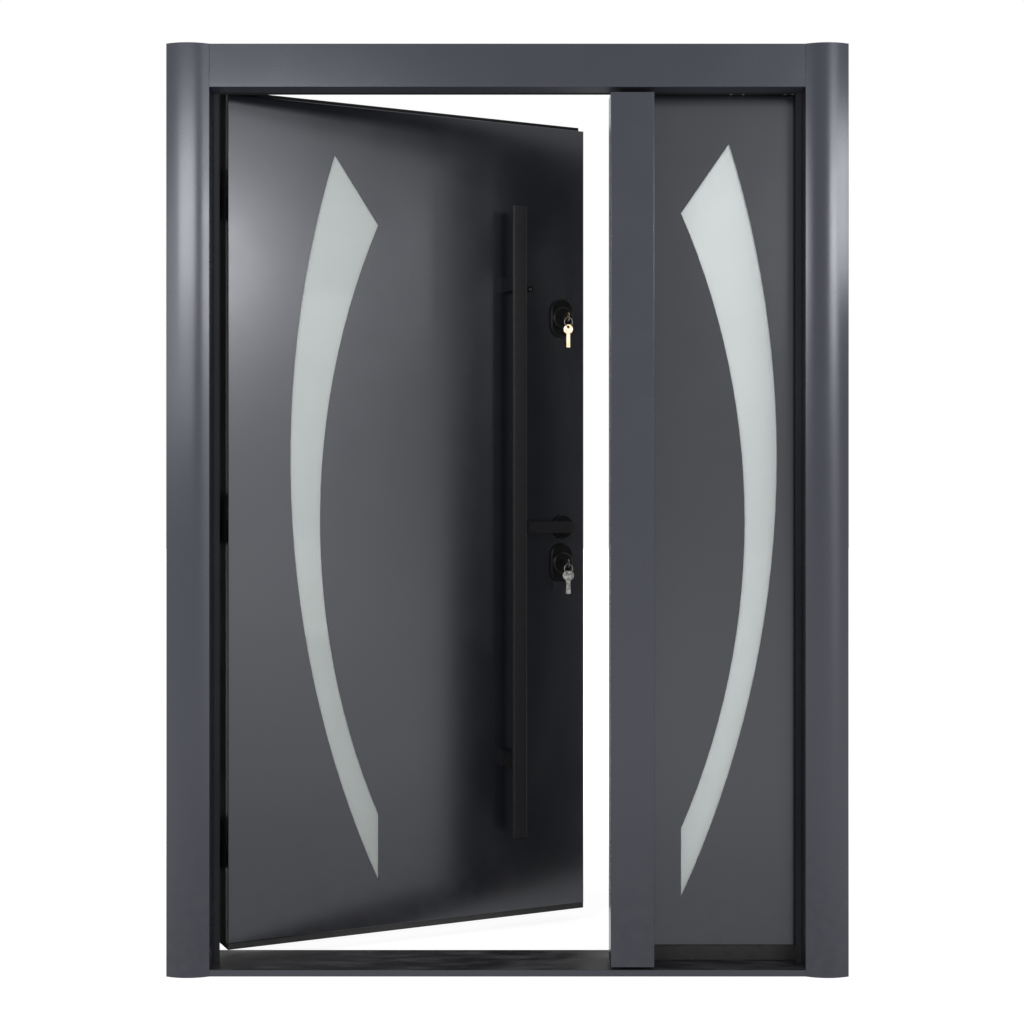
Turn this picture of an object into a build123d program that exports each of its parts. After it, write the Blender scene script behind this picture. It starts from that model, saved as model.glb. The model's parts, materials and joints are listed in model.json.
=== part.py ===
from build123d import *
from math import cos, radians, tan
import os

# Steel entrance door of unequal width: a wide leaf that stands ajar, a narrow bolted leaf beside it,
# a cover post over their meeting line, and a frame with half-round side casings. Millimetres.
# +Z is up, +Y runs from outdoors to indoors, and Y = 0 is the outer face of the shut leaves.
# The origin is on the floor, in the middle of the sill's underside.

# Overall size and the pose the door stands in
overall_width = 1500.0
overall_height = 2050.0
ajar_angle = 25.5
overrun = 5.0

# Casings, which lap over the outer face of the wall
casing_width = 95.0
casing_flat_depth = 55.0
casing_crown = 12.0
casing_wall = 2.0
casing_return = 16.0
casing_edge = 1.5
cap_setback = 1.0
header_height = 95.0
header_depth = 56.0

# Folded steel frame: a stop in front, and a rebate that the leaves shut into
frame_wall = 2.0
frame_width = 75.0
frame_lip = 10.0
stop_depth = 18.0
stop_gap = 9.0
rebate_step = 26.0
head_rebate_step = 25.0
head_height = 65.0
seal_width = 10.0
seal_thickness = 3.5
seal_inset = 7.0
anchor_radius = 5.5
anchor_inset = 250.0
anchor_spacing = 450.0

# Sill
sill_height = 14.0
sill_overhang = 10.0
sill_edge = 2.0

# Leaves: a thick front panel on a steel core, with a thinner panel indoors
side_leaf_width = 415.0
leaf_gap = 6.0
leaf_sill_gap = 19.0
meeting_gap = 10.0
front_panel_thickness = 20.0
core_thickness = 40.0
rear_panel_thickness = 12.0
core_inset = 4.0
panel_edge = 1.5
panel_top_drop = 12.0
panel_bottom_rise = 14.0
bottom_seal_depth = 18.0

# Crescent window: two arcs that bulge away from the meeting line, cut off by a straight corner line
main_window_inset = 361.5
side_window_inset = 139.5
window_outer_belly = 215.5
window_belly_share = 0.583
window_inner_belly = 143.0
window_tip_offset = 108.0
window_tip_drop = 114.5
window_foot_rise = 107.5
window_upper_drop = 271.0
window_lower_rise = 262.0
window_lap = 8.0
window_lip = 3.0
pane_thickness = 6.0
pane_clearance = 0.3

# Cover post over the meeting line
post_lap = 23.0
post_width = 96.0
post_depth = 80.0
post_wall = 2.5
post_edge = 1.5
post_gap = 6.0
post_sill_gap = 6.0
post_head_gap = 11.0

# Hinges with a lift-off pin
hinge_setback = 12.0
hinge_outset = 3.0
hinge_inset = 227.0
knuckle_radius = 9.0
knuckle_length = 58.0
knuckle_gap = 1.0
pin_radius = 5.0
pin_length = 50.0
pin_clearance = 0.05
hinge_plate_width = 44.0
hinge_plate_start = 3.0
hinge_plate_thickness = 4.0

# Pull bar
bar_backset = 204.5
bar_width = 35.0
bar_thickness = 10.0
bar_length = 1515.0
bar_drop = 9.0
bar_edge = 1.5
standoff_length = 53.0
standoff_width = 28.0
standoff_height = 38.0
standoff_inset = 182.0

# Locks and keys
lock_backset = 63.0
upper_lock_drop = 479.0
lower_lock_height = 891.0
escutcheon_width = 60.0
escutcheon_height = 96.0
escutcheon_thickness = 8.0
escutcheon_edge = 3.0
dome_radius = 27.0
dome_thickness = 7.0
dome_edge = 4.0
plug_radius = 8.5
plug_length = 2.0
key_blade_width = 9.0
key_blade_length = 6.0
key_thickness = 2.4
key_bow_radius = 11.5
key_hole_radius = 3.5
key_hole_share = 0.45
ring_radius = 11.0
ring_wire = 0.9
ring_sides = 8
ring_gap = 0.6
spare_blade_length = 33.0
spare_shift = 3.0
spare_turn = 50.0
spare_fan = 5.0

# Lever on a spindle through the leaf
lever_backset = 59.0
lever_height = 980.0
rose_radius = 29.0
rose_thickness = 9.0
rose_edge = 2.0
neck_radius = 10.0
neck_clearance = 0.3
neck_length = 30.0
lever_length = 112.0
lever_heel = 12.0
lever_tall = 28.0
lever_thickness = 11.0
lever_edge = 7.0
spindle_radius = 5.0
spindle_clearance = 2.0

# Viewer
viewer_backset = 148.0
viewer_drop = 412.0
viewer_radius = 7.5
viewer_thickness = 4.0
viewer_lens_radius = 4.5
viewer_lens_depth = 1.5

# Plates on the meeting edges: bolts of the main leaf, their strike, and the side leaf's flush bolts
edge_plate_width = 24.0
edge_plate_thickness = 2.5
lock_plate_below = 250.0
lock_plate_above = 145.0
bolt_radius = 8.0
bolt_proud = 1.2
bolt_clearance = 1.5
bolt_pitch = 45.0
flush_plate_length = 160.0
flush_plate_inset = 40.0
flush_lever_width = 10.0
flush_lever_length = 45.0
flush_lever_height = 1.5

# Places that follow from the sizes above
half_width = overall_width / 2
casing_inner_x = half_width - casing_width
core_y = front_panel_thickness
rear_panel_y = core_y + core_thickness
leaf_back_y = rear_panel_y + rear_panel_thickness
stop_back_y = -stop_gap
casing_back_y = stop_back_y - stop_depth
casing_flat_y = casing_back_y - casing_flat_depth
frame_back_y = leaf_back_y
header_bottom = overall_height - header_height
head_top = header_bottom + head_height
head_rebate_z = header_bottom + head_rebate_step
stop_inner_x = casing_inner_x - frame_lip
rebate_x = stop_inner_x + rebate_step
frame_outer_x = stop_inner_x + frame_width
leaf_outer_x = rebate_x - leaf_gap
side_free_x = leaf_outer_x - side_leaf_width
main_free_x = side_free_x - meeting_gap
core_bottom = sill_height + leaf_sill_gap
core_top = head_rebate_z - leaf_gap
leaf_middle = (core_bottom + core_top) / 2
panel_bottom = core_bottom + panel_bottom_rise
panel_top = core_top - panel_top_drop
hinge_x = leaf_outer_x + hinge_outset
hinge_y = leaf_back_y + hinge_setback
hinge_heights = (core_bottom + hinge_inset, leaf_middle, core_top - hinge_inset)
anchor_y = (stop_back_y + frame_back_y) / 2
bar_x = main_free_x - bar_backset
bar_middle = leaf_middle - bar_drop
bar_front_y = -standoff_length - bar_thickness
lock_x = main_free_x - lock_backset
upper_lock_height = core_top - upper_lock_drop
lever_x = main_free_x - lever_backset
viewer_x = main_free_x - viewer_backset
viewer_height = core_top - viewer_drop
dome_front_y = -escutcheon_thickness - dome_thickness
plug_front_y = dome_front_y - plug_length
key_end_y = plug_front_y - key_blade_length
key_hole_y = key_end_y - key_bow_radius * (1 + key_hole_share)
ring_drop = ring_radius + key_hole_radius - ring_wire - ring_gap
lever_front_y = -rose_thickness - neck_length
edge_plate_y = core_y + core_thickness / 2
lock_plate_bottom = lower_lock_height - lock_plate_below
lock_plate_top = upper_lock_height + lock_plate_above
lower_bolts = [lower_lock_height - count * bolt_pitch for count in (2, 3, 4)]
upper_bolts = [upper_lock_height + side * bolt_pitch for side in (-1, 1)]


def block(low, high):
    """A box between two corners."""
    size = Vector(*high) - Vector(*low)
    return Pos(*low) * Box(size.X, size.Y, size.Z, align=(Align.MIN, Align.MIN, Align.MIN))


def upright(outline, bottom, top):
    """A plan outline raised from one height to another."""
    return Pos(0, 0, bottom) * extrude(outline, top - bottom, dir=(0, 0, 1))


def along_y(outline, start, end):
    """A front-view outline, drawn with X and Z, carried from one depth to another."""
    front_view = Plane((0, start, 0), x_dir=(1, 0, 0), z_dir=(0, -1, 0))
    return extrude(front_view * outline, end - start, dir=(0, 1, 0))


def rod(x, z, radius, start, end):
    """A round bar along Y."""
    return along_y(Pos(x, z) * Circle(radius), start, end)


def cross_rod(y, z, radius, start, end):
    """A round bar along X."""
    return Pos((start + end) / 2, y, z) * Rot(0, 90, 0) * Cylinder(radius, end - start)


def polygon(points):
    return make_face(Polyline(*points, close=True).edges())


def front_edges(solid):
    """The edges round a piece's outermost face, as seen from outdoors."""
    return solid.faces().sort_by(Axis.Y)[0].edges()


def joined(solids):
    """Like pieces that are kept together."""
    return Compound([piece for solid in solids for piece in solid.solids()])


def mirrored_x(solid):
    return mirror(solid, about=Plane.YZ)


def indoors(solid):
    """Repeats an outdoor fitting on the leaf's other face."""
    return mirror(solid, about=Plane.XZ.offset(-leaf_back_y / 2))


def ajar(solid):
    """Swings a piece of the shut main leaf to the angle it stands at."""
    hinge = Pos(-hinge_x, hinge_y, 0)
    return hinge * Rot(0, 0, ajar_angle) * hinge.inverse() * solid


# Frame and casings

def casing_outline(inset):
    """Plan of the right casing with its round front, drawn in by the wall."""
    left = casing_inner_x + inset
    right = half_width - inset
    flat = casing_flat_y + inset
    back = casing_back_y - inset
    front = ThreePointArc((left, flat), ((left + right) / 2, flat - casing_crown), (right, flat))
    sides = Polyline((right, flat), (right, back), (left, back), (left, flat))
    return make_face([front] + sides.edges())


def side_casing():
    """Half-round casing with a cap on top and two returns that lie on the wall and on the jamb."""
    cap_bottom = overall_height - casing_wall
    outline = casing_outline(0)
    outline = fillet(outline.vertices().group_by(Axis.Y)[0], casing_edge)
    body = upright(outline, 0, overall_height)
    body -= upright(casing_outline(casing_wall), 0, cap_bottom)
    body -= block((casing_inner_x + casing_return, casing_back_y - casing_wall, 0),
                  (half_width - casing_return, casing_back_y, cap_bottom))
    body -= block((casing_inner_x, casing_back_y - cap_setback, cap_bottom),
                  (half_width, casing_back_y, overall_height))
    return body


def header_casing():
    front_y = casing_back_y - header_depth
    body = block((-casing_inner_x, front_y, header_bottom), (casing_inner_x, casing_back_y, overall_height))
    body = fillet(front_edges(body).filter_by(Axis.X), casing_edge)
    body -= block((-casing_inner_x, front_y + casing_wall, header_bottom + casing_wall),
                  (casing_inner_x, casing_back_y - casing_wall, overall_height - casing_wall))
    body -= block((-casing_inner_x, casing_back_y - casing_wall, header_bottom + casing_return),
                  (casing_inner_x, casing_back_y, overall_height - casing_return))
    return body


def frame_section(inner, step, outer, wall):
    """Folded section as points: stop in front, rebate behind it, open towards the wall."""
    far = outer + overrun
    rebate = inner + step
    skin = [(outer, casing_back_y), (inner, casing_back_y), (inner, stop_back_y),
            (rebate, stop_back_y), (rebate, frame_back_y), (outer, frame_back_y)]
    hollow = [(far, casing_back_y + wall), (inner + wall, casing_back_y + wall),
              (inner + wall, stop_back_y - wall), (rebate + wall, stop_back_y - wall),
              (rebate + wall, frame_back_y - wall), (far, frame_back_y - wall)]
    return skin, hollow


def anchor_heights():
    """Two pairs of wall anchors, one low and one high."""
    low = anchor_inset
    high = head_top - anchor_inset
    return low, low + anchor_spacing, high - anchor_spacing, high


def right_jamb():
    """Side of the frame, pierced in its rebate for the anchors that hold it in the wall."""
    skin, hollow = frame_section(stop_inner_x, rebate_step, frame_outer_x, frame_wall)
    jamb = upright(polygon(skin), 0, head_top) - upright(polygon(hollow), 0, head_top)
    for height in anchor_heights():
        jamb -= cross_rod(anchor_y, height, anchor_radius,
                          rebate_x - overrun, rebate_x + frame_wall + overrun)
    return jamb


def across(points):
    """A section given by height and depth, carried from one side of the frame to the other."""
    section = polygon([(-frame_outer_x, y, z) for z, y in points])
    return extrude(section, 2 * frame_outer_x, dir=(1, 0, 0))


def head_jamb():
    """Top of the frame, which ends against the side jambs."""
    skin, hollow = frame_section(header_bottom, head_rebate_step, head_top, frame_wall)
    side_skin = frame_section(stop_inner_x, rebate_step, frame_outer_x, frame_wall)[0]
    side = upright(polygon(side_skin), 0, head_top)
    return across(skin) - across(hollow) - side - mirrored_x(side)


def sill():
    """Flat sill between the casings in front, narrower between the stops, and wider in the rebate."""
    sill_back_y = frame_back_y + sill_overhang
    right = [(casing_inner_x, casing_flat_y), (casing_inner_x, casing_back_y), (stop_inner_x, casing_back_y),
             (stop_inner_x, stop_back_y), (rebate_x, stop_back_y), (rebate_x, sill_back_y)]
    left = [(-x, y) for x, y in reversed(right)]
    body = upright(polygon(right + left), 0, sill_height)
    lip = front_edges(body).sort_by(Axis.Z)[-1]
    return fillet(lip, sill_edge)


def frame_seal():
    """Rubber strips on the back of the stop, at both sides and over the leaves."""
    back = stop_back_y + seal_thickness
    low_x = stop_inner_x + seal_inset
    low_z = header_bottom + seal_inset
    side = block((low_x, stop_back_y, sill_height), (low_x + seal_width, back, header_bottom))
    head = block((-stop_inner_x, stop_back_y, low_z), (stop_inner_x, back, low_z + seal_width))
    return joined([side, mirrored_x(side), head])


# Leaves

def window_outline(corner_x):
    """Front view of the crescent, which bulges towards +X from its corner line."""
    tip = (corner_x + window_tip_offset, panel_top - window_tip_drop)
    foot = (corner_x, panel_bottom + window_foot_rise)
    upper = (corner_x, panel_top - window_upper_drop)
    lower = (corner_x, panel_bottom + window_lower_rise)
    belly = (corner_x + window_outer_belly, foot[1] + window_belly_share * (tip[1] - foot[1]))
    hollow = (corner_x + window_inner_belly, (upper[1] + lower[1]) / 2)
    return make_face([ThreePointArc(tip, belly, foot), Line(foot, lower),
                      ThreePointArc(lower, hollow, upper), Line(upper, tip)])


def leaf_pieces(low_x, high_x, corner_x):
    """Front panel, core, rear panel and panes of one shut leaf, with its free edge drawn in at low_x."""
    window = window_outline(corner_x)
    lapped = offset(window, window_lap)
    pane = offset(window, window_lap - pane_clearance)
    lip_y = leaf_back_y - window_lip
    front = block((low_x, 0, panel_bottom), (high_x, core_y, panel_top))
    front = fillet(front_edges(front), panel_edge)
    front -= along_y(window, 0, core_y)
    front -= along_y(lapped, window_lip, core_y)
    core = block((low_x + core_inset, core_y, core_bottom), (high_x, rear_panel_y, core_top))
    core += block((high_x - core_inset, rear_panel_y, core_bottom), (high_x, leaf_back_y, core_top))
    core -= along_y(lapped, core_y, rear_panel_y)
    rear = block((low_x + core_inset, rear_panel_y, core_bottom),
                 (high_x - core_inset, leaf_back_y, core_top))
    rear -= along_y(window, rear_panel_y, leaf_back_y)
    rear -= along_y(lapped, rear_panel_y, lip_y)
    panes = joined([along_y(pane, window_lip, window_lip + pane_thickness),
                    along_y(pane, lip_y - pane_thickness, lip_y)])
    return front, core, rear, panes


def bottom_seal(low_x, high_x, bottom):
    """Rubber strip under the front panel of a leaf."""
    return block((low_x, core_y - bottom_seal_depth, bottom), (high_x, core_y, panel_bottom))


def cover_post():
    """Flat-fronted profile that laps over the main leaf's edge and sits on the side leaf."""
    left = side_free_x - post_lap
    right = left + post_width
    bottom = sill_height + post_sill_gap
    top = header_bottom - post_head_gap
    plan = polygon([(left, -post_depth), (right, -post_depth), (right, 0),
                    (side_free_x, 0), (side_free_x, -post_gap), (left, -post_gap)])
    body = upright(plan, bottom, top)
    body = fillet(front_edges(body).filter_by(Axis.Z), post_edge)
    return body - upright(offset(plan, -post_wall, kind=Kind.INTERSECTION), bottom, top)


# Hinges on the left side: the frame's half carries the pin, and the leaf's half drops over it

def hinge_cylinder(radius, bottom, length):
    return Pos(-hinge_x, hinge_y, bottom) * Cylinder(
        radius, length, align=(Align.CENTER, Align.CENTER, Align.MIN))


def knuckle(bottom, towards):
    """Barrel with its plate, which reaches to the frame or to the leaf."""
    low_x, high_x = sorted(-hinge_x + towards * reach for reach in (hinge_plate_start, hinge_plate_width))
    plate = block((low_x, leaf_back_y, bottom),
                  (high_x, leaf_back_y + hinge_plate_thickness, bottom + knuckle_length))
    return hinge_cylinder(knuckle_radius, bottom, knuckle_length) + plate


def frame_hinge(height):
    base = height - knuckle_length
    return knuckle(base, -1) + hinge_cylinder(pin_radius, base, knuckle_length + pin_length)


def leaf_hinge(height):
    base = height + knuckle_gap
    return knuckle(base, 1) - hinge_cylinder(pin_radius + pin_clearance, base, knuckle_length)


# Handles and locks of the main leaf, drawn with the leaf shut

def pull_bar():
    bar = block((bar_x - bar_width / 2, bar_front_y, bar_middle - bar_length / 2),
                (bar_x + bar_width / 2, -standoff_length, bar_middle + bar_length / 2))
    return fillet(bar.edges().filter_by(Axis.Z), bar_edge)


def standoffs():
    """Two short posts that carry the pull bar."""
    reach = bar_length / 2 - standoff_inset
    return joined(
        block((bar_x - standoff_width / 2, -standoff_length, height - standoff_height / 2),
              (bar_x + standoff_width / 2, 0, height + standoff_height / 2))
        for height in (bar_middle - reach, bar_middle + reach))


def escutcheon(height):
    """Oval plate with a round dome, bored for the lock's plug."""
    oval = Pos(lock_x, height) * SlotOverall(escutcheon_height, escutcheon_width, rotation=90)
    plate = along_y(oval, -escutcheon_thickness, 0)
    plate = chamfer(front_edges(plate), escutcheon_edge)
    dome = rod(lock_x, height, dome_radius, dome_front_y, -escutcheon_thickness)
    dome = chamfer(front_edges(dome), dome_edge)
    return plate + dome - rod(lock_x, height, plug_radius, dome_front_y, 0)


def plug(height):
    return rod(lock_x, height, plug_radius, plug_front_y, 0)


def key_outline(blade_length):
    """Flat key along X with its bow at the origin: round bow, blade towards +X, hole at the far side."""
    blade_end = key_bow_radius + blade_length
    blade = Pos(blade_end / 2, 0) * Rectangle(blade_end, key_blade_width)
    hole = Pos(-key_bow_radius * key_hole_share, 0) * Circle(key_hole_radius)
    return Circle(key_bow_radius) + blade - hole


def turned_key(height):
    """Key in the lock, with its bow upright and a short length of blade showing."""
    plane = Plane((lock_x, key_end_y - key_bow_radius, height), x_dir=(0, 1, 0), z_dir=(1, 0, 0))
    return extrude(plane * key_outline(key_blade_length), key_thickness / 2, both=True)


def key_ring(height):
    """Ring that hangs in the bow's hole, in the plane of the leaf."""
    wire = Plane.XZ * (Pos(ring_radius, 0) * RegularPolygon(ring_wire, ring_sides))
    ring = revolve(wire, Axis.Z)
    return Pos(lock_x, key_hole_y, height - ring_drop) * Rot(90, 0, 0) * ring


def spare_key(height, side):
    """Key that hangs by its bow from the ring, turned to face outdoors and fanned to one side."""
    turn = radians(spare_turn)
    reach = abs(side) * spare_shift + key_thickness / 2 / cos(turn)
    slip = key_thickness / 2 * tan(turn)
    wire_z = height - ring_drop - (ring_radius**2 - reach**2) ** 0.5
    hole_z = wire_z + ring_wire + ring_gap - (key_hole_radius**2 - slip**2) ** 0.5
    plane = Plane((0, 0, -key_bow_radius * key_hole_share), x_dir=(0, 0, -1), z_dir=(1, 0, 0))
    key = extrude(plane * key_outline(spare_blade_length), key_thickness / 2, both=True)
    place = Pos(lock_x + side * spare_shift, key_hole_y, hole_z)
    return place * Rot(0, 0, spare_turn) * Rot(side * spare_fan, 0, 0) * key


def rose():
    """Round rose of the lever, bored for its neck."""
    disc = rod(lever_x, lever_height, rose_radius, -rose_thickness, 0)
    disc = chamfer(front_edges(disc), rose_edge)
    return disc - rod(lever_x, lever_height, neck_radius + neck_clearance, -rose_thickness, 0)


def lever():
    """Flat lever that points to the hinges, on a round neck."""
    back_y = lever_front_y + lever_thickness
    neck = rod(lever_x, lever_height, neck_radius, back_y, 0)
    arm = block((lever_x - lever_length, lever_front_y, lever_height - lever_tall / 2),
                (lever_x + lever_heel, back_y, lever_height + lever_tall / 2))
    return neck + fillet(arm.edges().filter_by(Axis.Y), lever_edge)


def spindle_hole():
    return rod(lever_x, lever_height, spindle_radius + spindle_clearance, 0, leaf_back_y)


def viewer():
    flange = rod(viewer_x, viewer_height, viewer_radius, -viewer_thickness, 0)
    return flange - rod(viewer_x, viewer_height, viewer_lens_radius,
                        -viewer_thickness, viewer_lens_depth - viewer_thickness)


# Fittings on the meeting edges

def edge_plate(edge_x, towards, bottom, top):
    """Steel strip on the edge of a core, standing off it to one side."""
    low_x, high_x = sorted((edge_x, edge_x + towards * edge_plate_thickness))
    return block((low_x, edge_plate_y - edge_plate_width / 2, bottom),
                 (high_x, edge_plate_y + edge_plate_width / 2, top))


def edge_holes(edge_x, towards, radius, reach):
    low_x, high_x = sorted((edge_x, edge_x + towards * reach))
    return [cross_rod(edge_plate_y, height, radius, low_x, high_x) for height in lower_bolts + upper_bolts]


def lock_bolts():
    """Bolts of the lock, drawn back, with their ends just proud of the plate."""
    return edge_holes(main_free_x - core_inset, 1, bolt_radius, edge_plate_thickness + bolt_proud)


def lock_plate():
    plate = edge_plate(main_free_x - core_inset, 1, lock_plate_bottom, lock_plate_top)
    for bolt in lock_bolts():
        plate -= bolt
    return plate


def strike_plate():
    edge_x = side_free_x + core_inset
    plate = edge_plate(edge_x, -1, lock_plate_bottom, lock_plate_top)
    for hole in edge_holes(edge_x, -1, bolt_radius + bolt_clearance, edge_plate_thickness):
        plate -= hole
    return plate


def flush_bolts():
    """Flush bolts that hold the side leaf at head and sill, each with its small lever."""
    edge_x = side_free_x + core_inset
    face_x = edge_x - edge_plate_thickness
    plates = []
    for bottom in (core_bottom + flush_plate_inset, core_top - flush_plate_inset - flush_plate_length):
        middle = bottom + flush_plate_length / 2
        low = (face_x - flush_lever_height, edge_plate_y - flush_lever_width / 2,
               middle - flush_lever_length / 2)
        high = (face_x, edge_plate_y + flush_lever_width / 2, middle + flush_lever_length / 2)
        plates.append(edge_plate(edge_x, -1, bottom, bottom + flush_plate_length) + block(low, high))
    return joined(plates)


main_front, main_core, main_rear, main_panes = [
    mirrored_x(piece)
    for piece in leaf_pieces(-main_free_x, leaf_outer_x, leaf_outer_x - main_window_inset)]
side_front, side_core, side_rear, side_panes = leaf_pieces(
    side_free_x, leaf_outer_x, side_free_x + side_window_inset)

frame_nodes = {
    "left_casing": mirrored_x(side_casing()),
    "right_casing": side_casing(),
    "header_casing": header_casing(),
    "left_jamb": mirrored_x(right_jamb()),
    "right_jamb": right_jamb(),
    "head_jamb": head_jamb(),
    "sill": sill(),
    "frame_seal": frame_seal(),
    "frame_hinge_halves": joined(frame_hinge(z) for z in hinge_heights),
    "side_front_panel": side_front,
    "side_core": side_core,
    "side_rear_panel": side_rear,
    "side_glass": side_panes,
    "side_bottom_seal": bottom_seal(side_free_x, leaf_outer_x, sill_height),
    "side_hinges": joined(mirrored_x(half(z)) for z in hinge_heights for half in (frame_hinge, leaf_hinge)),
    "cover_post": cover_post(),
    "strike_plate": strike_plate(),
    "flush_bolts": flush_bolts(),
}

leaf_nodes = {
    "main_front_panel": main_front - spindle_hole(),
    "main_core": main_core - spindle_hole(),
    "main_rear_panel": main_rear - spindle_hole(),
    "main_glass": main_panes,
    "main_bottom_seal": bottom_seal(-leaf_outer_x, main_free_x, core_bottom),
    "leaf_hinge_halves": joined(leaf_hinge(z) for z in hinge_heights),
    "pull_bar": pull_bar(),
    "pull_bar_standoffs": standoffs(),
    "upper_escutcheon": escutcheon(upper_lock_height),
    "lower_escutcheon": escutcheon(lower_lock_height),
    "upper_plug": plug(upper_lock_height),
    "lower_plug": plug(lower_lock_height),
    "upper_key": turned_key(upper_lock_height),
    "lower_key": turned_key(lower_lock_height),
    "upper_key_ring": key_ring(upper_lock_height),
    "lower_key_ring": key_ring(lower_lock_height),
    "upper_spare_key": spare_key(upper_lock_height, 0),
    "lower_spare_keys": joined(spare_key(lower_lock_height, side) for side in (-1, 1)),
    "outside_rose": rose(),
    "inside_rose": indoors(rose()),
    "inside_escutcheons": joined(indoors(escutcheon(z)) for z in (upper_lock_height, lower_lock_height)),
    "inside_plugs": joined(indoors(plug(z)) for z in (upper_lock_height, lower_lock_height)),
    "door_viewer": joined([viewer(), indoors(viewer())]),
    "lock_plate": lock_plate(),
    "lock_bolts": joined(lock_bolts()),
    "outside_lever": lever(),
    "inside_lever": indoors(lever()),
    "spindle": rod(lever_x, lever_height, spindle_radius, 0, leaf_back_y),
}

os.makedirs("parts", exist_ok=True)
for name, solid in frame_nodes.items():
    export_step(solid, f"parts/{name}.step")
for name, solid in leaf_nodes.items():
    export_step(ajar(solid), f"parts/{name}.step")
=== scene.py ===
# %% [markdown]
# A steel entrance door, left ajar. The solids of the door come from its CAD model: a frame with
# round-fronted casings, a narrow leaf that is bolted shut, and a wide leaf that stands a little open.
# This lesson gives those solids their real finishes, adds the small pieces that a drawing leaves out,
# such as screws and the wire of the key rings, and lights the door as in a plain studio.

# %% Load the door
import json
import math

import bmesh
import bpy
from mathutils import Matrix, Vector


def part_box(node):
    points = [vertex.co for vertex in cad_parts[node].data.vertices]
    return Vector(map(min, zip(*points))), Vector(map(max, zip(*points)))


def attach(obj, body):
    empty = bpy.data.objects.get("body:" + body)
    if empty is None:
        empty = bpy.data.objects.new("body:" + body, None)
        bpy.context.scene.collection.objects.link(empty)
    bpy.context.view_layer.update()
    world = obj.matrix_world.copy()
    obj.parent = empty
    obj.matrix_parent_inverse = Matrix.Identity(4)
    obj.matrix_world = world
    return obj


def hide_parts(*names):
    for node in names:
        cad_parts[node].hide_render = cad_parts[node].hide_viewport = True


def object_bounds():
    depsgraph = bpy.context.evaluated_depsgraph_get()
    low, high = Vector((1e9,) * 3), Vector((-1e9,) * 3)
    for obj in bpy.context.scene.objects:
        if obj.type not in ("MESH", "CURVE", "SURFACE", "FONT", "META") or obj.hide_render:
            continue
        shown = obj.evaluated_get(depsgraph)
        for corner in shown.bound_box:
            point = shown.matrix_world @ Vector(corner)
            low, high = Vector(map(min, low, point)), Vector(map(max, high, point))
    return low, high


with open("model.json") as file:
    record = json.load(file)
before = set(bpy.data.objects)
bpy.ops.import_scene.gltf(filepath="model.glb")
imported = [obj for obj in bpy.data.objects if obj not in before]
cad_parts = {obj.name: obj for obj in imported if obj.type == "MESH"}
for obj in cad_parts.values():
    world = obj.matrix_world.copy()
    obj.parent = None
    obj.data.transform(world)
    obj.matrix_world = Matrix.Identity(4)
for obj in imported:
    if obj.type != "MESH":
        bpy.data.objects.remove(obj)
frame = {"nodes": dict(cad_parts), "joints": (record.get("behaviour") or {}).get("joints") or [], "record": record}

cad_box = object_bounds()
nodes = frame["nodes"]
door_width = cad_box[1].x - cad_box[0].x
door_height = cad_box[1].z - cad_box[0].z
print(f"{len(nodes)} solids, {door_width:.3f} m wide, {door_height:.3f} m tall")

# %% [markdown]
# The wide leaf turns on its hinges, and at rest it stands ajar. Small pieces on it are easier to place
# on a shut leaf, where its faces run straight along the axes. The hinge's own record says where it turns
# and how far the leaf has to swing back to be shut, so one matrix carries such a piece to where it belongs.

# %% From the shut leaf to the open one
hinge = next(joint for joint in frame["joints"] if joint["name"] == "main_leaf_hinge")
swing = math.radians(-hinge["range_deg"][0])
hinge_point = Vector(hinge["pos_m"])
ajar = Matrix.Translation(hinge_point) @ Matrix.Rotation(swing, 4, "Z") @ Matrix.Translation(-hinge_point)
print(f"the leaf stands {math.degrees(swing):.1f} degrees open")
print(f"its hinge line is at x {hinge_point.x:.3f}, y {hinge_point.y:.3f}")

# %% [markdown]
# Every finish here is a node tree around one Principled shader. Its textures read Object coordinates,
# which are metres in the door's own frame, so a grain size can be written as a real size, and the grain
# stays on a leaf that swings. These helpers keep each finish short. The first ones start a material, make
# a noise that is measured in metres, and stretch that noise over a range of values.

# %% Helpers for patterns
def start_finish(name):
    """A material with one Principled shader, and its texture coordinates in metres."""
    finish = bpy.data.materials.new(name)
    finish.use_nodes = True
    tree = finish.node_tree
    shader = tree.nodes["Principled BSDF"]
    metres = tree.nodes.new("ShaderNodeTexCoord").outputs["Object"]
    return finish, tree, shader, metres


def stretched(tree, metres, stretch):
    """The coordinates drawn out along an axis, for brushed or streaky grain."""
    mapping = tree.nodes.new("ShaderNodeMapping")
    mapping.inputs["Scale"].default_value = stretch
    tree.links.new(metres, mapping.inputs["Vector"])
    return mapping.outputs["Vector"]


def grain(tree, metres, size, detail=3.0):
    """Cloudy noise whose patches are about this size."""
    noise = tree.nodes.new("ShaderNodeTexNoise")
    noise.inputs["Scale"].default_value = 1.0 / size
    noise.inputs["Detail"].default_value = detail
    tree.links.new(metres, noise.inputs["Vector"])
    return noise.outputs["Fac"]


def spread(tree, value, low, high, start=0.3, end=0.7):
    """Stretches the middle of a noise over a range of values."""
    ramp = tree.nodes.new("ShaderNodeMapRange")
    for socket, number in zip(("From Min", "From Max", "To Min", "To Max"), (start, end, low, high)):
        ramp.inputs[socket].default_value = number
    tree.links.new(value, ramp.inputs["Value"])
    return ramp.outputs["Result"]


def join(tree, operation, first, second):
    """One value from two, such as their product or the larger of them."""
    result = tree.nodes.new("ShaderNodeMath")
    result.operation = operation
    tree.links.new(first, result.inputs[0])
    tree.links.new(second, result.inputs[1])
    return result.outputs["Value"]


print("helpers for patterns are ready")

# %% [markdown]
# The other helpers turn those patterns into looks: a colour between two, a colour laid over another, fine
# relief, and the direction in which the surface faces.

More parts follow.
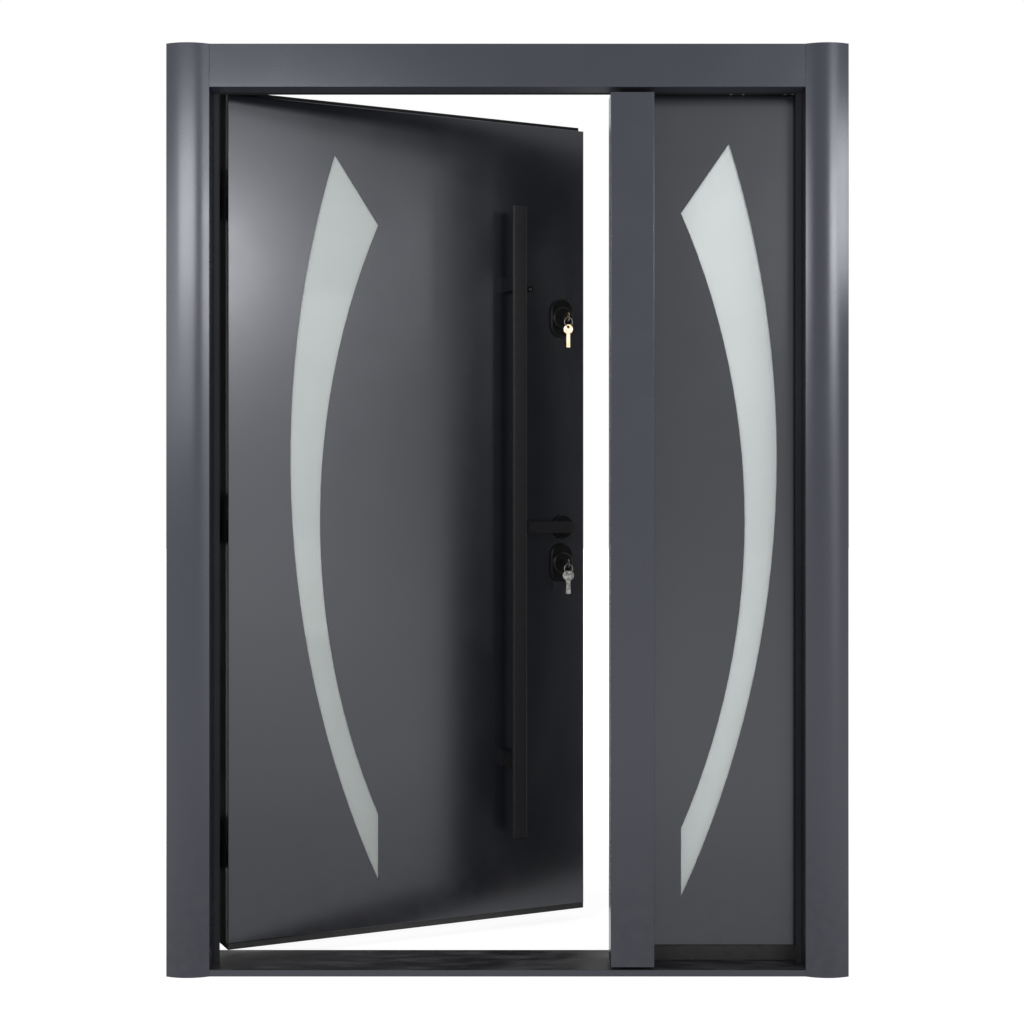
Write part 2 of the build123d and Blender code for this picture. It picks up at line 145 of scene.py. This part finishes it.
# %% Helpers for looks
def tint(tree, share, first, second):
    """A colour between two, by a share that varies over the surface."""
    mix = tree.nodes.new("ShaderNodeMix")
    mix.data_type = "RGBA"
    mix.inputs["A"].default_value = (*first, 1.0)
    mix.inputs["B"].default_value = (*second, 1.0)
    tree.links.new(share, mix.inputs["Factor"])
    return mix.outputs["Result"]


def over(tree, share, below, second):
    """Lays a second colour over one that already varies."""
    mix = tree.nodes.new("ShaderNodeMix")
    mix.data_type = "RGBA"
    mix.inputs["B"].default_value = (*second, 1.0)
    tree.links.new(below, mix.inputs["A"])
    tree.links.new(share, mix.inputs["Factor"])
    return mix.outputs["Result"]


def dent(tree, shader, height, depth):
    """Turns a noise into fine relief of this depth in metres."""
    bump = tree.nodes.new("ShaderNodeBump")
    bump.inputs["Strength"].default_value = 1.0
    bump.inputs["Distance"].default_value = depth
    tree.links.new(height, bump.inputs["Height"])
    tree.links.new(bump.outputs["Normal"], shader.inputs["Normal"])


def facing(tree, axis):
    """How far the surface faces along an axis of the door, from minus one to one."""
    split = tree.nodes.new("ShaderNodeSeparateXYZ")
    tree.links.new(tree.nodes.new("ShaderNodeNewGeometry").outputs["True Normal"], split.inputs["Vector"])
    return split.outputs[axis]


def feed(tree, value, shader, socket):
    """Lets a varying value drive one of the shader's inputs."""
    tree.links.new(value, shader.inputs[socket])


print("helpers for looks are ready")

# %% [markdown]
# The frame and both leaves are powder coated in a satin anthracite. Powder melts into a skin that is not
# quite flat: it keeps a fine ripple, like the peel of an orange, about two millimetres across and a few
# thousandths of a millimetre deep. Hands and cloths leave it a little shinier in some places than in
# others. A plain grey would look like plastic, so noise varies the colour slightly, the sheen a little
# more, and a small bump gives the ripple. Dust settles low down, so the coat is paler just above the floor.
# Faces that look down are never wiped and stay dull, and so do the folded edges inside the frame.

# %% Powder coat
ripple_size, ripple_depth = 0.0022, 0.0000035
wipe_size, cloud_size = 0.09, 0.5
dust_top, speck_size, speck_range = 0.35, wipe_size / 3, (0.4, 0.75)
dust_colour = (0.17, 0.165, 0.16)
sheen_tint = (0.91, 0.93, 1.0)
dull_roughness, faces_down = 0.7, (-0.9, -0.6)


def height_share(tree, metres, low, high):
    """Falls from one to zero between two heights."""
    split = tree.nodes.new("ShaderNodeSeparateXYZ")
    tree.links.new(metres, split.inputs["Vector"])
    return spread(tree, split.outputs["Z"], 1.0, 0.0, low, high)


def powder_coat(name, dark, light, sheen, dust, gloss):
    """Satin paint between two near greys, with its lowest and highest roughness in sheen."""
    finish, tree, shader, metres = start_finish(name)
    shader.inputs["Specular IOR Level"].default_value = gloss
    shader.inputs["Specular Tint"].default_value = (*sheen_tint, 1.0)
    colour = tint(tree, spread(tree, grain(tree, metres, cloud_size), 0.0, 1.0), dark, light)
    low_down = height_share(tree, metres, 0.0, dust_top)
    specks = spread(tree, grain(tree, metres, speck_size, detail=6.0), 0.0, dust, *speck_range)
    dusty = join(tree, "MULTIPLY", low_down, specks)
    feed(tree, over(tree, dusty, colour, dust_colour), shader, "Base Color")
    wiped = spread(tree, grain(tree, metres, wipe_size, detail=2.0), *sheen, 0.0, 1.0)
    unwiped = spread(tree, facing(tree, "Z"), dull_roughness, 0.0, *faces_down)
    feed(tree, join(tree, "MAXIMUM", wiped, unwiped), shader, "Roughness")
    dent(tree, shader, grain(tree, metres, ripple_size, detail=1.0), ripple_depth)
    return finish


finishes = {
    "anthracite_frame": powder_coat("anthracite_frame_coat", (0.0115, 0.013, 0.022), (0.0145, 0.016, 0.026),
                                    (0.23, 0.3), dust=0.1, gloss=0.68),
    "anthracite_leaf": powder_coat("anthracite_leaf_coat", (0.006, 0.0064, 0.009), (0.008, 0.0086, 0.0118),
                                   (0.2, 0.26), dust=0.08, gloss=0.78),
    "anthracite_edge": powder_coat("anthracite_edge_coat", (0.032, 0.033, 0.036), (0.044, 0.045, 0.048),
                                   (0.6, 0.8), dust=0.1, gloss=0.01),
    "hinge_steel": powder_coat("hinge_coat", (0.03, 0.031, 0.035), (0.036, 0.037, 0.042),
                               (0.3, 0.45), dust=0.1, gloss=0.5),
}
print("powder coats:", ", ".join(finishes))

# %% [markdown]
# The sill is trodden on. Its top is dark and matt, with pale smears from shoes that run mostly across the
# doorway. The front lip is painted lighter and bluish, as painted light on the face that looks towards the
# lamps. The surface's own direction tells the two apart: a normal that points forward belongs to the lip.
# That reads the door's geometry and not the view, so the sill looks the same from any side.

# %% Sill
sole_size, scuff_stretch = 0.03, (0.35, 1.4, 1.0)
smear_range, smear_sheen, smear_depth = (0.42, 0.72), (0.38, 0.6), 0.00004
top_dark, top_smeared = (0.013, 0.013, 0.015), (0.07, 0.07, 0.074)
lit_lip_colour, faces_forward = (0.085, 0.09, 0.107), (-0.9, -0.4)
sill_gloss = 0.15


def trodden_sill():
    """A dark top with pale smears, and a lip in front painted lighter, as painted light."""
    finish, tree, shader, metres = start_finish("trodden_sill")
    smears = grain(tree, stretched(tree, metres, scuff_stretch), sole_size, detail=6.0)
    top = tint(tree, spread(tree, smears, 0.0, 1.0, *smear_range), top_dark, top_smeared)
    # Painted light: faces that look forward, the lip, get a lighter, bluish colour.
    lip = spread(tree, facing(tree, "Y"), 1.0, 0.0, *faces_forward)
    feed(tree, over(tree, lip, top, lit_lip_colour), shader, "Base Color")
    feed(tree, spread(tree, smears, *smear_sheen), shader, "Roughness")
    shader.inputs["Specular IOR Level"].default_value = sill_gloss
    dent(tree, shader, smears, smear_depth)
    return finish


finishes["dark_sill"] = trodden_sill()
print("sill finish made, smears about", sole_size, "m")

# %% [markdown]
# The seals are extruded rubber, black and dull. Rubber is never quite even: a bloom of talc and dust makes
# it greyer in patches, and the surface is finely rough.

# %% Rubber
bloom_size, pore_size, pore_depth = 0.02, 0.0008, 0.00003
rubber_black, bloom_grey = (0.008, 0.008, 0.009), (0.02, 0.02, 0.021)
rubber_sheen = (0.6, 0.8)


def black_rubber():
    """Dull black with greyer patches."""
    finish, tree, shader, metres = start_finish("seal_rubber")
    bloom = spread(tree, grain(tree, metres, bloom_size), 0.0, 1.0)
    feed(tree, tint(tree, bloom, rubber_black, bloom_grey), shader, "Base Color")
    feed(tree, spread(tree, grain(tree, metres, bloom_size / 2), *rubber_sheen), shader, "Roughness")
    dent(tree, shader, grain(tree, metres, pore_size, detail=1.0), pore_depth)
    return finish


finishes["black_rubber"] = black_rubber()
print("rubber made")

# %% [markdown]
# The crescent windows are glazed with etched glass: the outer face is polished and the hidden face is
# sandblasted, so the pane shines, and is milky all through. Fully clear glass with a rough inside would
# need many light bounces to look right. Here about half of the light scatters at the surface as in milk
# and the rest passes through, blurred, which gives the same cloudy white and still lets the room's
# brightness through. A slow noise keeps the etching from looking like paper. The pane of the open leaf
# is the same glass, but its copy of the finish has a colour painted greyer, as painted shade.

# %% Etched glass
etch_cloud, etch_grit, etch_sheen = 0.25, 0.0006, (0.42, 0.5)
glass_ior, face_polish = 1.45, 0.03


def etched_glass(name, dim, bright, through):
    """A milky pane under a polished face; through is the share of light that passes."""
    finish, tree, shader, metres = start_finish(name)
    cloud = spread(tree, grain(tree, metres, etch_cloud), 0.0, 1.0)
    feed(tree, tint(tree, cloud, dim, bright), shader, "Base Color")
    feed(tree, spread(tree, grain(tree, metres, etch_grit, detail=1.0), *etch_sheen), shader, "Roughness")
    shader.inputs["Transmission Weight"].default_value = through
    shader.inputs["IOR"].default_value = glass_ior
    shader.inputs["Coat Weight"].default_value = 1.0
    shader.inputs["Coat Roughness"].default_value = face_polish
    return finish


finishes["frosted_glass"] = etched_glass("etched_glass",
                                         (0.83, 0.88, 0.873), (0.855, 0.905, 0.9), through=0.5)
# Painted shade: the open leaf's pane is the same glass, with its colour painted greyer.
shaded_glass = etched_glass("painted_shade_etched_glass", (0.597, 0.644, 0.637), (0.631, 0.68, 0.673), through=0.45)
print("etched glass made")

# %% [markdown]
# Pull bar, levers, roses, viewer and the oval plates of the locks with their plugs are black: turned or
# drawn metal with a smooth satin coat that is thinner than the powder on the leaves and has a finer grain.
# Hands take the pull bar and the levers and polish them a little, so these have their own version, glossier
# from the polish, and with a colour painted a little lighter, as painted sheen.

# %% Black fittings
hand_size, fitting_grain, fitting_relief = 0.025, 0.0007, 0.000004
fitting_sheen = (0.45, 0.33)


def satin_black(name, dark, light, gloss):
    """Black that is shinier where hands have paled it."""
    finish, tree, shader, metres = start_finish(name)
    rubbed = grain(tree, metres, hand_size, detail=4.0)
    feed(tree, tint(tree, spread(tree, rubbed, 0.0, 1.0), dark, light), shader, "Base Color")
    feed(tree, spread(tree, rubbed, *fitting_sheen), shader, "Roughness")
    shader.inputs["Specular IOR Level"].default_value = gloss
    dent(tree, shader, grain(tree, metres, fitting_grain, detail=1.0), fitting_relief)
    return finish


finishes["black_fittings"] = satin_black("black_fittings",
                                         (0.004, 0.004, 0.0045), (0.008, 0.008, 0.009), gloss=0.12)
# Glossier from hands, and with its colour painted lighter as painted sheen.
rubbed_and_sheen_black = satin_black("rubbed_and_painted_sheen_grips", (0.007, 0.007, 0.008), (0.014, 0.014, 0.016), gloss=0.3)
print("black fittings made")

# %% [markdown]
# Plates on the meeting edges, bolts and keys are bright metal with the fine lines of the brush that
# finished it. The noise is drawn out along the door's height to make those lines. The keys of the lower
# lock are nickel, scratched grey in the pocket, and those of the upper lock are brass under worn nickel,
# so a warm tint shows through where fingers have rubbed.

# %% Bright metal
brush_size, brush_stretch, brush_depth = 0.0012, (1.0, 1.0, 0.04), 0.000003
brush_sheen, wear_range = (0.26, 0.42), (0.38, 0.62)


def brushed(name, pale, deep, patches):
    """Brushed metal of two tones, in patches of this size."""
    finish, tree, shader, metres = start_finish(name)
    lines = grain(tree, stretched(tree, metres, brush_stretch), brush_size, detail=2.0)
    worn = spread(tree, grain(tree, metres, patches), 0.0, 1.0, *wear_range)
    feed(tree, tint(tree, worn, pale, deep), shader, "Base Color")
    feed(tree, spread(tree, lines, *brush_sheen), shader, "Roughness")
    shader.inputs["Metallic"].default_value = 1.0
    dent(tree, shader, lines, brush_depth)
    return finish


finishes["bright_steel"] = brushed("brushed_nickel", (0.32, 0.315, 0.305), (0.28, 0.28, 0.27), patches=0.03)
worn_nickel = brushed("worn_nickel", (0.27, 0.265, 0.255), (0.12, 0.12, 0.115), patches=0.005)
finishes["key_brass"] = brushed("worn_brass", (0.31, 0.29, 0.25), (0.28, 0.2, 0.095), patches=0.006)
print("bright metals made")

# %% [markdown]
# Each solid carries the name of its finish in the door's record, so one loop dresses them all. Only the
# open leaf's pane, painted greyer as painted shade, the pull bar and the levers, glossier and painted
# lighter as painted sheen, and the lower keys have a version of their own.

# %% Dress the solids
slot_of = {row["node"]: row["material_slot"] for row in frame["record"]["subparts"]}
own_finish = {"main_glass": shaded_glass, "pull_bar": rubbed_and_sheen_black, "outside_lever": rubbed_and_sheen_black,
              "inside_lever": rubbed_and_sheen_black, "lower_key": worn_nickel, "lower_spare_keys": worn_nickel}
for name, solid in nodes.items():
    solid.data.materials.clear()
    solid.data.materials.append(own_finish.get(name, finishes[slot_of[name]]))
print({slot: sum(s == slot for s in slot_of.values()) for slot in finishes})

# %% [markdown]
# The key rings are bent from round spring wire. The solids have eight-sided wire, which is enough to
# weigh them, but a ring catches a thin line of light that shows every side. A torus with fine rings is the
# plain way to a round wire, so one stands for each, at the same place and in the plane of the leaf.

# %% Key rings
ring_radius, ring_wire = 0.011, 0.0009
ring_steps, wire_sides = 64, 16


def leaf_axes(place):
    """A frame at a point of the open leaf, with X and Z in the plane of the leaf."""
    return Matrix.Translation(place) @ Matrix.Rotation(swing, 4, "Z")


def wire_ring(name, node):
    """A round wire ring in the place of one of the solids."""
    low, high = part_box(node)
    bpy.ops.mesh.primitive_torus_add(major_radius=ring_radius, minor_radius=ring_wire,
                                     major_segments=ring_steps, minor_segments=wire_sides)
    ring = bpy.context.object
    ring.name = name
    ring.data.polygons.foreach_set("use_smooth", [True] * len(ring.data.polygons))
    ring.matrix_world = leaf_axes((low + high) / 2) @ Matrix.Rotation(math.pi / 2, 4, "X")
    ring.data.materials.append(finishes["bright_steel"])
    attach(ring, "main_leaf")
    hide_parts(node)
    return ring


rings = [wire_ring(f"{level}_ring_wire", f"{level}_key_ring") for level in ("upper", "lower")]
print([ring.name for ring in rings])

# %% [markdown]
# Countersunk screws hold the hinge plates and the plates on the meeting edges. A real screw head is a low
# dome with a cross recess. Cutting the cross with a boolean for every screw would be slow, so one head is
# drawn as rings of points round a cross, the innermost ring sunk below the dome, and every screw gets a
# copy of it.

# %% One screw head
head_radius, head_rise = 0.0036, 0.0005
cross_reach, cross_half, cross_depth = 0.0021, 0.0005, 0.0009
recess_share, crown_share = 0.8, 0.85


def screw_head_mesh():
    """A low dome round a cross recess, with its flat back at the origin, pointing along +Z."""
    shape = bmesh.new()
    a, b = cross_reach, cross_half
    outline = [(a, b), (b, b), (b, a), (-b, a), (-b, b), (-a, b),
               (-a, -b), (-b, -b), (-b, -a), (b, -a), (b, -b), (a, -b)]
    rim = [shape.verts.new((x, y, head_rise)) for x, y in outline]
    recess = [shape.verts.new((x * recess_share, y * recess_share, head_rise - cross_depth))
              for x, y in outline]
    angles = [math.atan2(y, x) for x, y in outline]
    crown_radius = head_radius * crown_share
    crown = [shape.verts.new((crown_radius * math.cos(t), crown_radius * math.sin(t), head_rise))
             for t in angles]
    edge = [shape.verts.new((head_radius * math.cos(t), head_radius * math.sin(t), 0.0)) for t in angles]
    count = len(outline)
    for inner, outer in ((recess, rim), (rim, crown), (crown, edge)):
        for i in range(count):
            j = (i + 1) % count
            shape.faces.new((inner[i], outer[i], outer[j], inner[j]))
    shape.faces.new(recess)
    shape.faces.new(list(reversed(edge)))
    bmesh.ops.recalc_face_normals(shape, faces=shape.faces)
    mesh = bpy.data.meshes.new("screw_head")
    shape.to_mesh(mesh)
    shape.free()
    return mesh


screw_mesh = screw_head_mesh()
print("screw head with", len(screw_mesh.polygons), "faces")

# %% [markdown]
# A screw is set by its place and by the direction in which its face looks. Its cross is turned by an
# amount that depends on its height. A screw on the wide leaf is placed as if the leaf were shut.

# %% Setting a screw
turn_per_metre = 40.0


def in_mm(length):
    """A length in whole millimetres, for the names of screws."""
    return round(length * 1000)


def screw(name, place, direction, body, finish):
    """Sets one screw head on a face, with its cross turned so that few look alike."""
    head = bpy.data.objects.new(name, screw_mesh.copy())
    bpy.context.scene.collection.objects.link(head)
    outward = direction.to_track_quat("Z", "Y").to_matrix().to_4x4()
    turned = Matrix.Rotation(place.z * turn_per_metre, 4, "Z")
    head.matrix_world = Matrix.Translation(place) @ outward @ turned
    head.data.materials.append(finishes[finish])
    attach(head, body)
    return head


def leaf_screw(name, place, direction, finish):
    """A screw on the open leaf, placed where it is when the leaf is shut."""
    return screw(name, ajar @ place, ajar.to_3x3() @ direction, "main_leaf", finish)


print("screws can be set on the frame and on the leaf")

# %% [markdown]
# Each hinge has two plates, one on the frame and one on the leaf, that lie on the inner faces. Two screws
# hold a plate, one above the other. The plates are the same on both leaves, mirrored, and the narrow
# leaf does not turn, so all the screws of its hinges stay with the frame.

# %% Screws on the hinges
hinge_heights = (0.26, 1.0035, 1.747)
knuckle_length, hinge_face_y = 0.058, 0.076
frame_screw_x, leaf_screw_x = 0.695, 0.641
knuckle_shares = (0.25, 0.75)
indoors = Vector((0, 1, 0))

hinge_screws = []
for height in hinge_heights:
    for share in knuckle_shares:
        below = height - knuckle_length * share
        above = height + knuckle_length * share
        on_frame = Vector((-frame_screw_x, hinge_face_y, below))
        on_leaf = Vector((-leaf_screw_x, hinge_face_y, above))
        on_side_frame = Vector((frame_screw_x, hinge_face_y, below))
        on_side_leaf = Vector((leaf_screw_x, hinge_face_y, above))
        label = f"hinge_screw_{in_mm(height)}_{round(share * 100)}"
        hinge_screws += [
            screw(f"frame_{label}", on_frame, indoors, "frame", "hinge_steel"),
            leaf_screw(f"leaf_{label}", on_leaf, indoors, "hinge_steel"),
            screw(f"side_frame_{label}", on_side_frame, indoors, "frame", "hinge_steel"),
            screw(f"side_leaf_{label}", on_side_leaf, indoors, "frame", "hinge_steel"),
        ]
print(len(hinge_screws), "screws on the hinges")

# %% [markdown]
# On the meeting edges the lock's long plate, the strike plate across from it and the two flush bolts of
# the narrow leaf are let into the steel and screwed near their ends. The oval plates of the locks are
# screwed from indoors only, so that nobody can undo them from the street.

# %% Screws on the edge plates and the locks
lock_face_x, strike_face_x, edge_middle_y = 0.2385, 0.2515, 0.04
plate_screw_heights = (0.653, 1.19, 1.628)
flush_screw_heights = (0.083, 0.223, 1.784, 1.924)
lock_x, lock_heights, lock_screw_reach, inner_plate_y = 0.177, (0.891, 1.495), 0.036, 0.08
to_right, to_left = Vector((1, 0, 0)), Vector((-1, 0, 0))

edge_screws = []
for height in plate_screw_heights:
    label = in_mm(height)
    on_lock = Vector((lock_face_x, edge_middle_y, height))
    on_strike = Vector((strike_face_x, edge_middle_y, height))
    edge_screws.append(leaf_screw(f"lock_plate_screw_{label}", on_lock, to_right, "bright_steel"))
    edge_screws.append(screw(f"strike_screw_{label}", on_strike, to_left, "frame", "bright_steel"))
for height in flush_screw_heights:
    label = in_mm(height)
    on_bolt = Vector((strike_face_x, edge_middle_y, height))
    edge_screws.append(screw(f"flush_bolt_screw_{label}", on_bolt, to_left, "frame", "bright_steel"))
for height in lock_heights:
    for side in (-1, 1):
        place = Vector((lock_x, inner_plate_y, height + side * lock_screw_reach))
        label = in_mm(place.z)
        edge_screws.append(leaf_screw(f"inner_lock_screw_{label}", place, indoors, "black_fittings"))
print(len(edge_screws), "screws on the edge plates and locks")

# %% [markdown]
# Over the narrow leaf, four screws go up into the head of the frame from below. They are only seen as
# small specks in the shade under the header, but that shade would look empty without them.

# %% Screws under the head
head_underside, head_screw_y = 1.955, -0.0125
head_screw_xs = (0.5005, 0.5275, 0.6215, 0.639)
downward = Vector((0, 0, -1))

head_screws = [screw(f"head_screw_{in_mm(x)}", Vector((x, head_screw_y, head_underside)),
                     downward, "frame", "bright_steel") for x in head_screw_xs]
print(len(head_screws), "screws under the head")

# %% [markdown]
# The viewer is a short tube through the leaf with a wide-angle lens at each end. The lens is a low glass
# dome that looks nearly black, since the tube behind it is dark, with a sharp reflection on top. Real
# refraction would show nothing more than that, so a dark base under a clear coat stands for it.

# %% Finish of the lenses
lens_radius, lens_rise = 0.0044, 0.0012
lens_black, lens_blue = (0.004, 0.005, 0.007), (0.012, 0.014, 0.02)
lens_roughness, lens_polish = 0.12, 0.02


def dark_lens():
    """Nearly black glass with a sharp clear coat."""
    finish, tree, shader, metres = start_finish("viewer_lens")
    depth = spread(tree, grain(tree, metres, lens_radius), 0.0, 1.0)
    feed(tree, tint(tree, depth, lens_black, lens_blue), shader, "Base Color")
    shader.inputs["Roughness"].default_value = lens_roughness
    shader.inputs["Coat Weight"].default_value = 1.0
    shader.inputs["Coat Roughness"].default_value = lens_polish
    return finish


lens_finish = dark_lens()
print("lens finish made")

# %% [markdown]
# The dome of a lens is a spun profile: rings of points that follow a quarter of an ellipse, closed by one
# point on top and a flat back. The same dome serves both ends of the tube.

# %% Viewer lenses
lens_rings, lens_sides = 6, 32
viewer_place = Vector((0.092, -0.0025, 1.562))
leaf_thickness = 0.072


def lens_mesh():
    """A low dome with a flat back, pointing along +Z."""
    shape = bmesh.new()
    turns = [2 * math.pi * side / lens_sides for side in range(lens_sides)]
    circles = []
    for step in range(lens_rings):
        slope = math.pi / 2 * step / lens_rings
        reach, rise = lens_radius * math.cos(slope), lens_rise * math.sin(slope)
        circles.append([shape.verts.new((reach * math.cos(turn), reach * math.sin(turn), rise))
                        for turn in turns])
    top = shape.verts.new((0, 0, lens_rise))
    for low, high in zip(circles, circles[1:]):
        for i in range(lens_sides):
            j = (i + 1) % lens_sides
            shape.faces.new((low[i], low[j], high[j], high[i]))
    for i in range(lens_sides):
        shape.faces.new((circles[-1][i], circles[-1][(i + 1) % lens_sides], top))
    shape.faces.new(list(reversed(circles[0])))
    for face in shape.faces:
        face.smooth = len(face.verts) < lens_sides
    mesh = bpy.data.meshes.new("viewer_lens")
    shape.to_mesh(mesh)
    shape.free()
    return mesh


def viewer_lens(name, place, direction, finish):
    """Sets one lens on the open leaf, placed where it is when the leaf is shut."""
    lens = bpy.data.objects.new(name, lens_mesh())
    bpy.context.scene.collection.objects.link(lens)
    outward = (ajar.to_3x3() @ direction).to_track_quat("Z", "Y").to_matrix().to_4x4()
    lens.matrix_world = Matrix.Translation(ajar @ place) @ outward
    lens.data.materials.append(finish)
    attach(lens, "main_leaf")
    return lens


inner_viewer = Vector((viewer_place.x, leaf_thickness - viewer_place.y, viewer_place.z))
lenses = [viewer_lens("outer_viewer_lens", viewer_place, -indoors, lens_finish),
          viewer_lens("inner_viewer_lens", inner_viewer, indoors, lens_finish)]
print([lens.name for lens in lenses])

# %% [markdown]
# The door stands in front of nothing. The background has to be white, but white light from all round would
# wash out the satin paint, so the Light Path node gives the white only to what is seen, reflected or looked
# through, and a much weaker light to the surfaces themselves.

# %% Surroundings
white = (1.0, 1.0, 1.0, 1.0)
ambient = 0.3


def seen_share(tree):
    """One for rays from the camera, from gloss and through glass."""
    path = tree.nodes.new("ShaderNodeLightPath")
    total = path.outputs["Is Camera Ray"]
    for kind in ("Is Glossy Ray", "Is Transmission Ray"):
        total = join(tree, "MAXIMUM", total, path.outputs[kind])
    return total


def white_surroundings():
    """A world that looks white and lights the surfaces only weakly."""
    world = bpy.data.worlds.new("white_studio")
    world.use_nodes = True
    tree = world.node_tree
    output = tree.nodes["World Output"]
    light = tree.nodes["Background"]
    light.inputs["Color"].default_value = white
    light.inputs["Strength"].default_value = ambient
    seen = tree.nodes.new("ShaderNodeBackground")
    seen.inputs["Color"].default_value = white
    mix = tree.nodes.new("ShaderNodeMixShader")
    tree.links.new(seen_share(tree), mix.inputs["Fac"])
    tree.links.new(light.outputs["Background"], mix.inputs[1])
    tree.links.new(seen.outputs["Background"], mix.inputs[2])
    tree.links.new(mix.outputs["Shader"], output.inputs["Surface"])
    bpy.context.scene.world = world
    return world


print("surroundings:", white_surroundings().name)

# %% [markdown]
# The floor is plain and pale. It catches light and sends some of it back up, which brightens the underside
# of the header. Close to the door it shows a soft shadow, and further out it glows just enough to turn into
# the white of the background, so no horizon shows.

# %% Floor
floor_half, floor_drop = 30.0, 0.001
floor_grey = (0.8, 0.8, 0.8, 1.0)
shade_start, shade_end = 0.75, 2.4
glow_strength, shade_depth = 1.5, 0.4


def distance_from_door(tree):
    """Metres from the middle of the doorway, on the floor."""
    metres = tree.nodes.new("ShaderNodeTexCoord").outputs["Object"]
    length = tree.nodes.new("ShaderNodeVectorMath")
    length.operation = "LENGTH"
    tree.links.new(metres, length.inputs[0])
    return length.outputs["Value"]


def pale_floor():
    """Floor that shows a soft shadow round the door and turns to plain white further out."""
    bpy.ops.mesh.primitive_plane_add(size=2 * floor_half, location=(0, 0, -floor_drop))
    floor = bpy.context.object
    floor.name = "studio_floor"
    finish = bpy.data.materials.new("pale_floor")
    finish.use_nodes = True
    tree = finish.node_tree
    tree.nodes.clear()
    matt = tree.nodes.new("ShaderNodeBsdfDiffuse")
    matt.inputs["Color"].default_value = floor_grey
    glow = tree.nodes.new("ShaderNodeEmission")
    glow.inputs["Strength"].default_value = glow_strength
    faint = tree.nodes.new("ShaderNodeMixShader")
    whiteness = spread(tree, distance_from_door(tree), 1.0 - shade_depth, 1.0, shade_start, shade_end)
    tree.links.new(whiteness, faint.inputs["Fac"])
    mix = tree.nodes.new("ShaderNodeMixShader")
    output = tree.nodes.new("ShaderNodeOutputMaterial")
    tree.links.new(matt.outputs["BSDF"], faint.inputs[1])
    tree.links.new(glow.outputs["Emission"], faint.inputs[2])
    tree.links.new(seen_share(tree), mix.inputs["Fac"])
    tree.links.new(matt.outputs["BSDF"], mix.inputs[1])
    tree.links.new(faint.outputs["Shader"], mix.inputs[2])
    tree.links.new(mix.outputs["Shader"], output.inputs["Surface"])
    floor.data.materials.append(finish)
    return floor


print("floor:", pale_floor().name)

# %% [markdown]
# Satin paint shows its surroundings, so the lamps are placed by what the paint should mirror. The round
# casings spread a lamp sideways but not up and down, so a low wide light gives each of them one broad soft
# streak. The left one is near and has a dim wide panel around a bright strip. The right one stands where
# the open leaf mirrors only its end, as the sheen by the hinges, and a near lamp that the leaf can't mirror
# lights that casing's outer rim. A panel at the right brightens the open leaf, except where its mirror
# image meets the cover post: that half stays dark.

# %% Lamps
def softbox(name, place, target, width, height, power):
    """A rectangular lamp that looks at a target, in metres and watts, and isn't seen itself."""
    lamp = bpy.data.lights.new(name, "AREA")
    lamp.shape = "RECTANGLE"
    lamp.size, lamp.size_y = width, height
    lamp.energy = power
    holder = bpy.data.objects.new(name, lamp)
    bpy.context.scene.collection.objects.link(holder)
    holder.location = place
    holder.rotation_euler = (Vector(target) - Vector(place)).to_track_quat("-Z", "Y").to_euler()
    holder.visible_camera = False
    return holder


lamps = [
    softbox("left_strip", (-1.01, -1.6, 1.93), (-1.01, 0.0, 1.87), width=1.26, height=0.5, power=13.5),
    softbox("left_panel", (-2.13, -1.6, 1.75), (-2.13, 0.0, 1.72), width=3.25, height=0.95, power=25.0),
    softbox("right_strip", (3.04, -5.1, 2.5), (3.04, 0.0, 1.7), width=1.82, height=0.45, power=80.0),
    softbox("rim_lamp", (1.38, -0.65, 1.85), (0.74, -0.09, 1.7), width=0.5, height=0.42, power=5.2),
    softbox("right_panel", (3.5, -4.9, 1.25), (-0.3, 0.1, 1.2), width=1.8, height=2.1, power=10.0),
]
print([(lamp.name, lamp.data.energy) for lamp in lamps])

# %% [markdown]
# The camera stands straight in front of the door at chest height, a little under four metres away. The
# view is level, so upright edges stay upright, and a small shift of the lens lowers the frame instead of
# tilting the camera.

# %% Camera
camera_place = Vector((0.0099, -3.754, 1.0545))
lens_mm, sensor_mm, lens_shift = 58.75, 36.0, -0.015

camera = bpy.data.objects.new("camera", bpy.data.cameras.new("camera"))
bpy.context.scene.collection.objects.link(camera)
camera.location = camera_place
camera.rotation_euler = (math.pi / 2, 0.0, 0.0)
camera.data.lens = lens_mm
camera.data.sensor_width = sensor_mm
camera.data.shift_y = lens_shift
bpy.context.scene.camera = camera
bpy.context.scene.view_settings.view_transform = "Standard"
print(f"camera at {tuple(round(v, 3) for v in camera_place)}, {lens_mm} mm")
